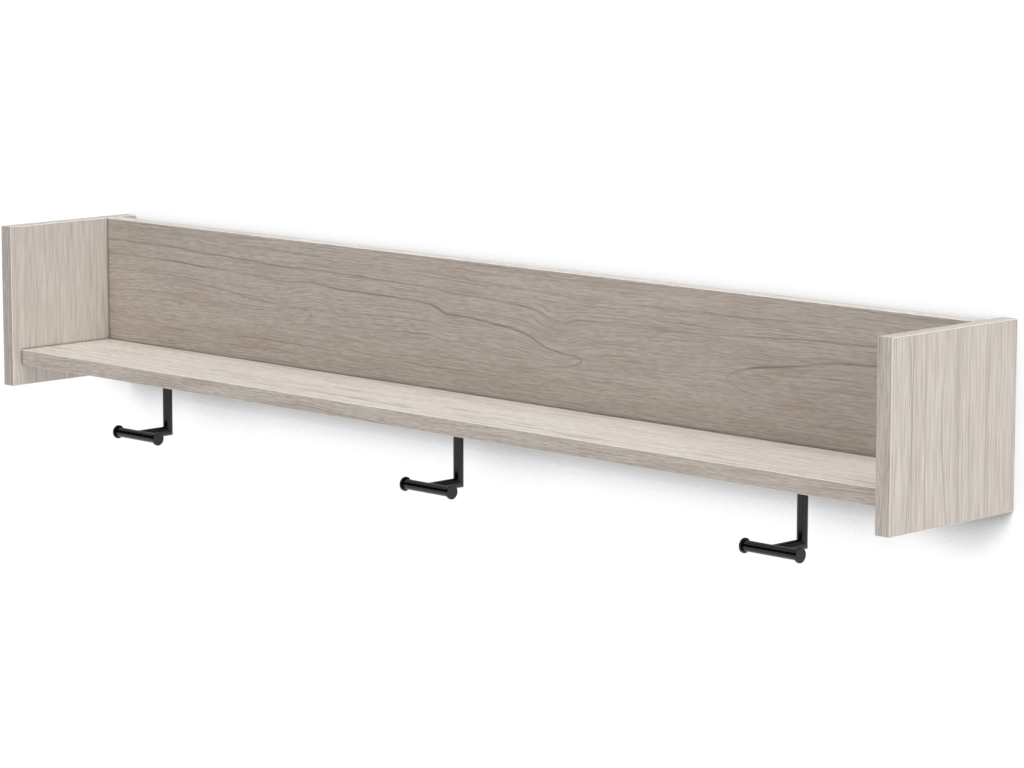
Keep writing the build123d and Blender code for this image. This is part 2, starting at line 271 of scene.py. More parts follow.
@dataclass(frozen=True)
class Figure:
    """Growth rings cut by a flat-sawn board, all in millimetres in the pattern's axes.

    The rings are tubes round a pith that runs below the face. Where the pith comes nearer to the face, the
    rings close in pointed arches, and far from it they run straight along the board.
    """

    centre: float = 0.0  # the pith's line, across the grain
    waist: float = 0.0  # place along the grain where the pith lies deepest
    depth: float = 55.9  # its depth there
    slope: float = 0.0356  # rise of the pith away from the waist
    waist_length: float = 60.0  # length over which that rise turns round
    least_depth: float = 4.0  # the pith comes no nearer to the face than this
    least_slope: float = 0.02  # of a ring against the face, so that nothing is divided by zero
    spacing: float = 13.0  # from ring to ring
    line_core: float = 0.4  # a ring's line is full up to this distance from its middle
    line_rim: float = 1.5  # distance at which it has died away
    sway: float = 10.0  # slow wander of the rings
    sway_grain: Grain = Grain(230.0, 90.0)
    ripple: float = 4.0  # quick wander of the rings
    ripple_grain: Grain = Grain(52.0, 26.0, shift=3)
    fade_grain: Grain = Grain(120.0, 24.0, shift=7, clip=(0.2, 0.55))  # where the lines fade out
    pick: float = 0.0  # chooses which rings come out strong
    faint_share: float = 0.25  # share of the rings that come out faintest
    faint: float = 0.1  # how strongly those show
    lower: float = 1.0  # how strongly all show on the lower side of the pith's line
    lower_start: float = -3.0  # where that side starts
    lower_full: float = -14.0  # where it has fully started
    reach: float = 1200.0  # length of board that the drift covers
    span: float = 40.0  # widest drift
    drift: Stops = ((0.0, 0.5), (1.0, 0.5))  # drawn wander: share of reach, share of span
    drift_line: float = 0.0  # where across the grain that wander is fullest
    drift_core: float = 8.0  # distance from there up to which it is full
    drift_width: float = 60.0  # distance from there at which it has died away


@dataclass(frozen=True)
class Hairs:
    """Hair-fine dark lines that run with the grain and come and go.

    Real ones are about 0.3 mm wide. They are drawn a third of their spacing wide, which is 1 mm or more, so
    that they still show from afar.
    """

    ink: float = 0.45
    spacing: float = 3.2  # from line to line, in millimetres
    core: float = 0.05  # a line is full up to this distance from its middle, as a share of the spacing
    rim: float = 0.18  # where it has died away, as a share of the spacing
    faint: float = 0.3  # how strongly the faintest line shows
    wander: float = 2.5  # widest wander, in spacings
    wander_grain: Grain = Grain(140.0, 12.0, shift=31)
    fade_grain: Grain = Grain(70.0, 5.0, shift=37, clip=(0.4, 0.62))  # where the lines fade out


@dataclass(frozen=True)
class Streak:
    """A darker stripe of the print along the whole board, in millimetres across the grain."""

    centre: float
    width: float  # distance from its middle at which it has died away
    ink: float
    core: float = 0.3  # share of the width up to which it is full


@dataclass(frozen=True)
class MelamineWoodgrain:
    """Particle board faced with melamine film, printed as a pale greyed hardwood and pressed with fine pores.

    The film has a dry, even sheen. The print shows soft darker and lighter streaks, fibre lines and hair-fine
    lines that bend with the growth rings, thin late-wood lines and a stipple of pores. Edges without a band
    show the particle core. Shade is painted into the joints between boards, and a highlight along the
    rounded edges of the bands.

    Real fibre lines are about 0.4 mm wide and real pores 0.2 mm. They are drawn 1.1 and 0.7 mm wide, so that
    they still show from afar.
    """

    name: str
    lay: Lay
    face: int | None = None  # axis that the faced sides look along; None where all sides are faced
    figure: Figure = Figure()
    hairs: Hairs = Hairs()
    streaks: tuple[Streak, ...] = ()
    shift: float = 0.0  # sets its print apart from that of other boards
    light: str = "#ded5cc"
    middle: str = "#cec3b8"
    dark: str = "#7d6f61"
    late_wood: str = "#6b5c4d"
    blush: str = "#c4a596"
    # colour of the painted highlight on a band's rounded edges
    radius_highlight: str = "#f4efe9"
    # colour of the painted shade in joints between boards
    joint: str = "#57504a"
    core: str = "#b79a72"
    core_dark: str = "#7d6243"
    ring_ink: float = 0.6
    fibre_ink: float = 0.18
    pore_ink: float = 0.27
    blush_ink: float = 0.3
    radius_highlight_ink: float = 0.85
    joint_shade_ink: float = 0.6
    broad: Grain = Grain(420.0, 16.0, 2.0, 21, (0.2, 0.8))
    narrow: Grain = Grain(190.0, 2.0, 2.0, 27, (0.05, 0.95))
    patches: Grain = Grain(110.0, 16.0, 2.0, 13, (0.5, 0.72))
    fibres: Grain = Grain(80.0, 1.1, 0.5, 9, (0.42, 0.7))
    pores: Grain = Grain(12.0, 0.7, 0.0, 5, (0.42, 0.64))
    chip: float = 2.0  # size of a chip of the core, in millimetres
    seam_reach: float = 4.0  # how near another board stands where painted shade darkens the joint, in millimetres
    pressed: float = 0.08  # depth of pores and fibre lines, in millimetres

    def make(self) -> Material:
        """Builds the material.

        Returns:
            The material.
        """
        sheet = Sheet(self.name, self.lay.value)
        flow = self.flow(sheet)
        fibres = sheet.grains(self.fibres, self.shift, flow)
        pores = sheet.grains(self.pores, self.shift, flow)
        colour = sheet.printed(
            self.light,
            Layer(self.tone(sheet, flow), 1.0, self.middle),
            Layer(sheet.grains(self.patches, self.shift, flow), self.blush_ink, self.blush),
            *(Layer(self.stripe(sheet, flow, s), s.ink, self.dark) for s in self.streaks),
            Layer(fibres, self.fibre_ink, self.dark),
            Layer(pores, self.pore_ink, self.dark),
            Layer(self.hair_lines(sheet, flow), self.hairs.ink, self.late_wood),
            Layer(self.ring_lines(sheet, flow), self.ring_ink, self.late_wood),
        )
        # bands get a painted highlight along their rounded edges
        if self.face is None:
            colour = sheet.printed(
                colour, Layer(self.radius(sheet), self.radius_highlight_ink, self.radius_highlight)
            )
        else:
            colour = sheet.printed(
                self.particles(sheet), Layer(sheet.facing(self.face), 1.0, colour)
            )
        # painted shade: ambient occlusion darkens the joints where boards meet
        colour = sheet.printed(colour, Layer(self.painted_joint_shade(sheet), self.joint_shade_ink, self.joint))
        marks = add(sheet.tree, "Math", {0: fibres, 1: pores}, operation="MAXIMUM")
        height = add(sheet.tree, "Math", {0: 1.0, 1: marks}, operation="SUBTRACT")
        sheet.relief(height, depth=self.pressed, strength=0.5)
        return sheet.finish(colour, pores, smooth=0.44, rough=0.56, IOR=1.5)

    def flow(self, sheet: Sheet) -> Socket:
        """Coordinates in millimetres that bend as the grain bends.

        Args:
            sheet: The material that is being made.

        Returns:
            The socket with the bent coordinates, with the pith's line at Y 0.
        """
        tree, cut = sheet.tree, self.figure
        x, y, z = (add(tree, "SeparateXYZ", {0: sheet.millimetres}, out=i) for i in range(3))
        share = add(
            tree,
            "MapRange",
            {"Value": x, "From Min": -cut.reach / 2, "From Max": cut.reach / 2},
        )
        drawn = add(tree, "ValToRGB", {"Fac": share}, stops=cut.drift)
        gap = add(tree, "Math", {0: y, 1: cut.drift_line}, operation="SUBTRACT")
        gap = add(tree, "Math", {0: gap}, operation="ABSOLUTE")
        hold = add(
            tree,
            "MapRange",
            {"Value": gap, "From Min": cut.drift_width, "From Max": cut.drift_core},
            interpolation_type="SMOOTHSTEP",
        )
        for bend, size in (
            (drawn, add(tree, "Math", {0: hold, 1: -cut.span}, operation="MULTIPLY")),
            (sheet.grains(cut.sway_grain, self.shift), -cut.sway),
            (sheet.grains(cut.ripple_grain, self.shift), -cut.ripple),
        ):
            off = add(tree, "Math", {0: bend, 1: 0.5}, operation="SUBTRACT")
            y = add(tree, "Math", {0: off, 1: size, 2: y}, operation="MULTIPLY_ADD")
        y = add(tree, "Math", {0: y, 1: cut.centre}, operation="SUBTRACT")
        return add(tree, "CombineXYZ", {0: x, 1: y, 2: z})

    def ring_lines(self, sheet: Sheet, flow: Socket) -> Socket:
        """The dark late-wood lines of the growth rings.

        Args:
            sheet: The material that is being made.
            flow: The bent coordinates.

        Returns:
            1 on a strong line, down to 0 between the lines.
        """
        tree, cut = sheet.tree, self.figure
        x, y = (add(tree, "SeparateXYZ", {0: flow}, out=i) for i in range(2))
        along = add(tree, "Math", {0: x, 1: cut.waist}, operation="SUBTRACT")
        away = add(tree, "CombineXYZ", {0: along, 1: cut.waist_length})
        away = add(tree, "VectorMath", {0: away}, out="Value", operation="LENGTH")
        deep = add(
            tree, "Math", {0: away, 1: -cut.slope, 2: cut.depth}, operation="MULTIPLY_ADD"
        )
        deep = add(tree, "Math", {0: deep, 1: cut.least_depth}, operation="MAXIMUM")
        radius = add(tree, "CombineXYZ", {0: y, 1: deep})
        radius = add(tree, "VectorMath", {0: radius}, out="Value", operation="LENGTH")
        steep = add(tree, "Math", {0: y, 1: radius}, operation="DIVIDE")
        steep = add(tree, "CombineXYZ", {0: steep, 1: max(cut.slope, cut.least_slope)})
        steep = add(tree, "VectorMath", {0: steep}, out="Value", operation="LENGTH")
        count = add(tree, "Math", {0: radius, 1: cut.spacing}, operation="DIVIDE")
        number = add(tree, "Math", {0: count}, operation="ROUND")
        gap = add(tree, "Math", {0: count, 1: number}, operation="SUBTRACT")
        gap = add(tree, "Math", {0: gap}, operation="ABSOLUTE")
        gap = add(tree, "Math", {0: gap, 1: steep}, operation="DIVIDE")
        gap = add(tree, "Math", {0: gap, 1: cut.spacing}, operation="MULTIPLY")
        line = add(
            tree,
            "MapRange",
            {"Value": gap, "From Min": cut.line_rim, "From Max": cut.line_core},
        )
        number = add(tree, "Math", {0: number, 1: cut.pick}, operation="ADD")
        odd = add(tree, "TexWhiteNoise", {"W": number}, noise_dimensions="1D")
        strength = add(
            tree,
            "MapRange",
            {"Value": odd, "From Min": cut.faint_share, "To Min": cut.faint},
        )
        side = add(
            tree,
            "MapRange",
            {
                "Value": y,
                "From Min": cut.lower_full,
                "From Max": cut.lower_start,
                "To Min": cut.lower,
            },
        )
        for share in (sheet.grains(cut.fade_grain, self.shift), side, line):
            strength = add(tree, "Math", {0: strength, 1: share}, operation="MULTIPLY")
        return strength

    def hair_lines(self, sheet: Sheet, flow: Socket) -> Socket:
        """The hair-fine dark lines.

        Args:
            sheet: The material that is being made.
            flow: The bent coordinates.

        Returns:
            1 on a strong line, down to 0 between the lines.
        """
        tree, hairs = sheet.tree, self.hairs
        y = add(tree, "SeparateXYZ", {0: flow}, out="Y")
        wander = sheet.grains(hairs.wander_grain, self.shift, flow)
        count = add(tree, "Math", {0: y, 1: hairs.spacing}, operation="DIVIDE")
        count = add(
            tree, "Math", {0: wander, 1: hairs.wander, 2: count}, operation="MULTIPLY_ADD"
        )
        part = add(tree, "Math", {0: count}, operation="FRACT")
        gap = add(tree, "Math", {0: part, 1: 0.5}, operation="SUBTRACT")
        gap = add(tree, "Math", {0: gap}, operation="ABSOLUTE")
        line = add(
            tree, "MapRange", {"Value": gap, "From Min": hairs.rim, "From Max": hairs.core}
        )
        number = add(tree, "Math", {0: count}, operation="FLOOR")
        odd = add(tree, "TexWhiteNoise", {"W": number}, noise_dimensions="1D")
        odd = add(tree, "MapRange", {"Value": odd, "To Min": hairs.faint})
        for share in (odd, sheet.grains(hairs.fade_grain, self.shift, flow)):
            line = add(tree, "Math", {0: line, 1: share}, operation="MULTIPLY")
        return line

    def stripe(self, sheet: Sheet, flow: Socket, streak: Streak) -> Socket:
        """Where one streak lies.

        Args:
            sheet: The material that is being made.
            flow: The bent coordinates.
            streak: The streak.

        Returns:
            1 along its middle and 0 beside it.
        """
        y = add(sheet.tree, "SeparateXYZ", {0: flow}, out="Y")
        offset = streak.centre - self.figure.centre
        gap = add(sheet.tree, "Math", {0: y, 1: offset}, operation="SUBTRACT")
        gap = add(sheet.tree, "Math", {0: gap}, operation="ABSOLUTE")
        return add(
            sheet.tree,
            "MapRange",
            {
                "Value": gap,
                "From Min": streak.width,
                "From Max": streak.width * streak.core,
            },
            interpolation_type="SMOOTHSTEP",
        )

    def tone(self, sheet: Sheet, flow: Socket) -> Socket:
        """Slow change between lighter and darker wood.

        Args:
            sheet: The material that is being made.
            flow: The bent coordinates.

        Returns:
            0 where the wood is light and 1 where it is darker.
        """
        broad = sheet.grains(self.broad, self.shift, flow)
        narrow = sheet.grains(self.narrow, self.shift, flow)
        both = add(sheet.tree, "Math", {0: broad, 1: narrow}, operation="ADD")
        return add(sheet.tree, "Math", {0: both, 1: 0.5}, operation="MULTIPLY")

    def radius(self, sheet: Sheet) -> Socket:
        """The small milled radius along a band's edges, lightened as a painted highlight where it catches the
        light.

        Args:
            sheet: The material that is being made.

        Returns:
            1 on the radius and 0 on the flats.
        """
        tree = sheet.tree
        normal = add(tree, "NewGeometry", out="True Normal")
        size = add(tree, "VectorMath", {0: normal}, operation="ABSOLUTE")
        x, y, z = (add(tree, "SeparateXYZ", {0: size}, out=i) for i in range(3))
        most = add(tree, "Math", {0: x, 1: y}, operation="MAXIMUM")
        most = add(tree, "Math", {0: most, 1: z}, operation="MAXIMUM")
        flat, rounded = 0.995, 0.93  # cosines of 6 and 22 degrees
        return add(
            tree, "MapRange", {"Value": most, "From Min": flat, "From Max": rounded}
        )

    def painted_joint_shade(self, sheet: Sheet) -> Socket:
        """The hairline of shade painted into a joint between two boards, from ambient occlusion.

        Args:
            sheet: The material that is being made.

        Returns:
            1 in the joint and 0 on the open board.
        """
        open_share = add(
            sheet.tree,
            "AmbientOcclusion",
            {"Distance": self.seam_reach * MM},
            out="AO",
            samples=8,
        )
        free, shut = 0.85, 0.55
        return add(
            sheet.tree, "MapRange", {"Value": open_share, "From Min": free, "From Max": shut}
        )

    def particles(self, sheet: Sheet) -> Socket:
        """The bare core of the board: pressed chips, some darker than others.

        Args:
            sheet: The material that is being made.

        Returns:
            The core's colour.
        """
        chips = add(
            sheet.tree,
            "TexVoronoi",
            {"Vector": sheet.millimetres, "Scale": 1 / self.chip, "Randomness": 1.0},
            out="Color",
        )
        grey = add(sheet.tree, "SeparateXYZ", {0: chips})
        return sheet.printed(self.core, Layer(grey, 1.0, self.core_dark))


@dataclass(frozen=True)
class BirchPlywood:
    """Birch plywood, sawn and left raw: pale peeled faces, and plies in turn light and dark on the edges."""

    name: str = "birch_plywood_raw"
    pale: str = "#dcc7a2"
    warm: str = "#c9ab7d"
    end_grain: str = "#a67f52"
    glue: str = "#6b4c30"
    ply: float = 1.4667  # thickness of one ply, in millimetres: 15 of them make 22 mm
    peeled: Grain = Grain(160.0, 14.0, 3.0, 2.0, (0.3, 0.7))
    fine: Grain = Grain(30.0, 0.9, 2.0, 4.0, (0.4, 0.8))
    pits: Grain = Grain(1.6, 0.7, 2.0, 6.0, (0.35, 0.75))
    glue_line: Stops = ((0.0, 1.0), (0.1, 0.0), (0.9, 0.0), (1.0, 1.0))  # across one ply

    def make(self) -> Material:
        """Builds the material.

        Returns:
            The material.
        """
        sheet = Sheet(self.name, Lay.X_ACROSS_Z.value)
        tree = sheet.tree
        peeled = sheet.grains(self.peeled)
        fine = sheet.grains(self.fine)
        veneer = sheet.printed(
            self.pale, Layer(peeled, 1.0, self.warm), Layer(fine, 0.3, self.end_grain)
        )
        thickness = add(tree, "SeparateXYZ", {0: sheet.millimetres}, out="Z")
        count = add(tree, "Math", {0: thickness, 1: self.ply}, operation="DIVIDE")
        pair = add(tree, "Math", {0: count, 1: 0.5}, operation="MULTIPLY")
        half = add(tree, "Math", {0: pair}, operation="FRACT")
        cross = add(tree, "Math", {0: half, 1: 0.5}, operation="GREATER_THAN")
        part = add(tree, "Math", {0: count}, operation="FRACT")
        line = add(tree, "ValToRGB", {"Fac": part}, stops=self.glue_line)
        plies = sheet.printed(
            self.pale,
            Layer(cross, 1.0, self.end_grain),
            Layer(sheet.grains(self.pits), 0.35, self.glue),
            Layer(line, 0.6, self.glue),
        )
        colour = sheet.printed(plies, Layer(sheet.facing(1), 1.0, veneer))
        height = add(tree, "Math", {0: 1.0, 1: fine}, operation="SUBTRACT")
        sheet.relief(height, depth=0.15, strength=0.5)
        return sheet.finish(colour, peeled, smooth=0.68, rough=0.76, IOR=1.45)


@dataclass(frozen=True)
class TurnedBeech:
    """Beech dowel, turned and left raw: pinkish tan with short dark ray flecks along it."""

    name: str = "beech_dowel"
    base: str = "#d2ab7c"
    deep: str = "#bd9061"
    ray: str = "#8d6237"
    streaks: Grain = Grain(26.0, 1.2, 2.0, 0.0, (0.3, 0.7))
    flecks: Grain = Grain(2.2, 0.35, 1.0, 3.0, (0.62, 0.72))

    def make(self) -> Material:
        """Builds the material.

        Returns:
            The material.
        """
        sheet = Sheet(self.name)
        streak = sheet.grains(self.streaks)
        colour = sheet.printed(
            self.base,
            Layer(streak, 1.0, self.deep),
            Layer(sheet.grains(self.flecks), 0.6, self.ray),
        )
        sheet.relief(streak, depth=0.06, strength=0.4)
        return sheet.finish(colour, streak, smooth=0.56, rough=0.64, IOR=1.45)


@dataclass(frozen=True)
class ZincFinish:
    """Zinc on a fitting: die-cast it is grey and cloudy, plated on steel it is brighter and smoother."""

    name: str
    bright: str
    dull: str
    low_roughness: float
    high_roughness: float
    cloud: float  # size of a cloudy patch, in millimetres
    skin: Grain = Grain(0.4, 0.4, 2.0, 5.0)

    def make(self) -> Material:
        """Builds the material.

        Returns:
            The material.
        """
        sheet = Sheet(self.name)
        cloudy = Grain(self.cloud, self.cloud, 3.0, 0.0, (0.35, 0.65))
        patch = sheet.grains(cloudy)
        sheet.relief(sheet.grains(self.skin), depth=0.02, strength=0.4)
        colour = sheet.printed(self.bright, Layer(patch, 1.0, self.dull))
        return sheet.finish(
            colour, patch, self.low_roughness, self.high_roughness, Metallic=1.0
        )


@dataclass(frozen=True)
class BlackPowderCoat:
    """Steel under a fine black powder coat: deep neutral black, a satin sheen and a faint orange-peel skin."""

    name: str = "black_powder_coat"
    base: str = "#040405"
    worn: str = "#08080a"
    patches: Grain = Grain(9.0, 9.0, 2.0, 4.0, (0.35, 0.65))
    dimples: Grain = Grain(0.7, 0.7)

    def make(self) -> Material:
        """Builds the material.

        Returns:
            The material.
        """
        sheet = Sheet(self.name)
        patch = sheet.grains(self.patches)
        sheet.relief(sheet.grains(self.dimples), depth=0.015, strength=0.5)
        colour = sheet.printed(self.base, Layer(patch, 1.0, self.worn))
        return sheet.finish(colour, patch, smooth=0.14, rough=0.2, IOR=1.45)


@dataclass(frozen=True)
class BlackOxide:
    """Steel screw blackened in a hot oxide bath and oiled: dark blue-grey metal with a soft shine."""

    name: str = "black_oxide_steel"
    base: str = "#2c2d30"
    light: str = "#3a3b3e"
    patches: Grain = Grain(1.5, 1.5, 2.0, 0.0, (0.3, 0.7))

    def make(self) -> Material:
        """Builds the material.

        Returns:
            The material.
        """
        sheet = Sheet(self.name)
        patch = sheet.grains(self.patches)
        colour = sheet.printed(self.base, Layer(patch, 1.0, self.light))
        return sheet.finish(colour, patch, smooth=0.34, rough=0.46, Metallic=1.0)


# ---------------------------------------------------------------- sub-assemblies
class Side(Enum):
    """The two ends of the shelf, as seen from in front."""

    LEFT = "left"
    RIGHT = "right"


def dress(names: list[str], material: Material) -> None:
    """Gives CAD nodes a material in every slot they have.

    Args:
        names: The nodes' names.
        material: Their new material.
    """
    for name in names:
        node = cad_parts[name]
        for place in node.material_slots:
            place.material = material
        LOG.info("%s wears %s", name, material.name)


@dataclass
class SidePanel:
    """A square side panel with bands on its front, top and bottom edges, grain upright."""

    side: Side
    figure: Figure
    shift: float
    streaks: tuple[Streak, ...] = ()
    light: str = "#e0d9d2"
    middle: str = "#d0c7be"
    # colours of the front band; where one side's pair is lighter, that is painted light, as the same band
    # stands in stronger light there
    front_light: str = "#ebe2d8"
    front_middle: str = "#d9cec4"

    def dress(self) -> None:
        """Gives the board and its three bands their finishes."""
        name = self.side.value
        board = MelamineWoodgrain(
            f"melamine_side_{name}",
            Lay.Z_ACROSS_Y,
            face=0,
            figure=self.figure,
            streaks=self.streaks,
            shift=self.shift,
            light=self.light,
            middle=self.middle,
            ring_ink=0.35,
            fibre_ink=0.12,
            pore_ink=0.25,
            pores=Grain(30.0, 0.7, 0.0, 5, (0.42, 0.64)),
            hairs=Hairs(ink=0.3, spacing=3.4),
            blush_ink=0.2,
        )
        dress([f"side_panel_{name}"], board.make())
        straight = Figure(depth=40, slope=0.0, spacing=6.0, sway=3, ripple=1)
        front = MelamineWoodgrain(
            f"band_front_{name}",
            Lay.Z_ACROSS_X,
            figure=straight,
            shift=self.shift + 40,
            light=self.front_light,
            middle=self.front_middle,
        )
        dress([f"side_front_band_{name}"], front.make())
        level = MelamineWoodgrain(
            f"band_level_{name}",
            Lay.Y_ACROSS_X,
            figure=straight,
            shift=self.shift + 60,
            light="#cec7bf",
            middle="#c2b9b0",
        )
        dress([f"side_top_band_{name}", f"side_bottom_band_{name}"], level.make())


@dataclass
class ShelfBoard:
    """The shelf with its front band, grain along its length."""

    figure: Figure = Figure(centre=-60, depth=90, slope=0.01, spacing=9, sway=12, ripple=2)
    hairs: Hairs = Hairs(ink=0.6, spacing=9.0)  # 3 mm wide, as the shelf is seen at a shallow angle

    def dress(self) -> None:
        """Gives the shelf and its band their finishes."""
        board = MelamineWoodgrain(
            "melamine_shelf",
            Lay.X_ACROSS_Y,
            face=2,
            figure=self.figure,
            shift=110,
            light="#ece6e0",
            middle="#dfd8d0",
            ring_ink=0.4,
            hairs=self.hairs,
        )
        dress(["shelf_board"], board.make())
        front = MelamineWoodgrain(
            "band_shelf_front",
            Lay.X_ACROSS_Z,
            figure=Figure(centre=30, depth=50, slope=0.02, spacing=8, sway=14),
            shift=140,
            light="#ede3d9",
            middle="#e6dace",
            ring_ink=0.2,
            fibre_ink=0.25,
        )
        dress(["shelf_front_band"], front.make())


@dataclass
class BackPanel:
    """The back panel between the sides, grain along its length, with bands on its top and bottom edges.

    Its figure closes in a pointed arch on either side of a waist right of the middle.
    """

    waist: float = 211.0
    pick: float = 199.0
    # How the long ring line bends on its way: places along the panel and offsets, in millimetres.
    bends: tuple[tuple[float, float], ...] = (
        (-600, 0), (-489, 3.8), (-415, 2.8), (-355, -0.3), (-298, 0.6), (-258, 6.2), (-217, 3.0),
        (-120, 6.5), (-85, 6.6), (-64, -0.2), (-26, 1.5), (30, 3.2), (53, 0.7), (74, -6.7),
        (97, -8.0), (118, -2.0), (200, 1.0), (304, 3.0), (375, 4.0), (421, 6.6), (476, 7.5), (600, 6.0),
    )  # fmt: skip

    def dress(self) -> None:
        """Gives the panel and its bands their finishes."""
        reach, span = Figure.reach, Figure.span
        drift = tuple((x / reach + 0.5, y / span + 0.5) for x, y in self.bends)
        board = MelamineWoodgrain(
            "melamine_back",
            Lay.X_ACROSS_Z,
            face=1,
            figure=Figure(
                waist=self.waist,
                sway=8,
                ripple=3,
                pick=self.pick,
                lower=0.12,
                drift=drift,
                drift_line=22,
                drift_width=36,
            ),
            shift=170,
            ring_ink=0.55,
        )
        dress(["back_panel"], board.make())
        edge = MelamineWoodgrain(
            "band_back",
            Lay.X_ACROSS_Y,
            figure=Figure(depth=40, slope=0.0, spacing=6, sway=4),
            shift=200,
            light="#eae4dd",
            middle="#ddd5cc",
        )
        dress(["back_top_band", "back_bottom_band"], edge.make())


@dataclass
class Cleats:
    """The pair of bevelled cleats behind the back panel, and the screws that hold the upper one."""

    plywood: BirchPlywood = BirchPlywood()

    def dress(self, plated: Material) -> None:
        """Gives the cleats and their screws their finishes.

        Args:
            plated: The zinc plating of screws.
        """
        dress(["hanging_cleat", "wall_cleat"], self.plywood.make())
        dress(["cleat_screws"], plated)


@dataclass
class Fittings:
    """Cams, cam bolts, dowels and joint screws that hold the boards together."""

    cast: ZincFinish = ZincFinish(
        "zinc_die_cast",
        bright="#b4b5b6",
        dull="#8f9092",
        low_roughness=0.38,
        high_roughness=0.55,
        cloud=2.5,
    )

    def dress(self, plated: Material) -> None:
        """Gives the fittings their finishes.

        Args:
            plated: The zinc plating of bolts and screws.
        """
        dress(["shelf_cams", "back_cams"], self.cast.make())
        dress(["shelf_cam_bolts", "back_cam_bolts", "joint_screws"], plated)
        dress(["shelf_dowels", "back_dowels"], TurnedBeech().make())


@dataclass
class Hook:
    """One hook: plate, post, arm, peg and end discs of powder-coated steel, with its four screws."""

    number: int

    def dress(self, coat: Material, oxide: Material) -> None:
        """Gives the hook its finishes.

        Args:
            coat: The powder coat of its steel.
            oxide: The finish of its screws.
        """
        parts = ("plate", "post", "arm", "peg", "discs", "weld")
        dress([f"hook_{self.number}_{part}" for part in parts], coat)
        dress([f"hook_{self.number}_screws"], oxide)


# ---------------------------------------------------------------- studio
@dataclass(frozen=True)
class Softbox:
    """A soft rectangular studio lamp that looks at the shelf."""

    name: str
    place: Triple  # in metres
    width: float  # in metres
    height: float  # in metres
    power: float  # in watts

    def light(self, target: Vector) -> None:
        """Adds the lamp.

        Args:
            target: The point that it looks at.
        """
        bpy.ops.object.light_add(type="AREA", location=self.place)
        lamp = bpy.context.object
        lamp.name = self.name
        lamp.rotation_euler = (target - Vector(self.place)).to_track_quat("-Z", "Y").to_euler()
        lamp.data.shape = "RECTANGLE"
        lamp.data.size, lamp.data.size_y = self.width, self.height
        lamp.data.energy = self.power
        lamp.visible_camera = False
        LOG.info("lamp %s", self.name)


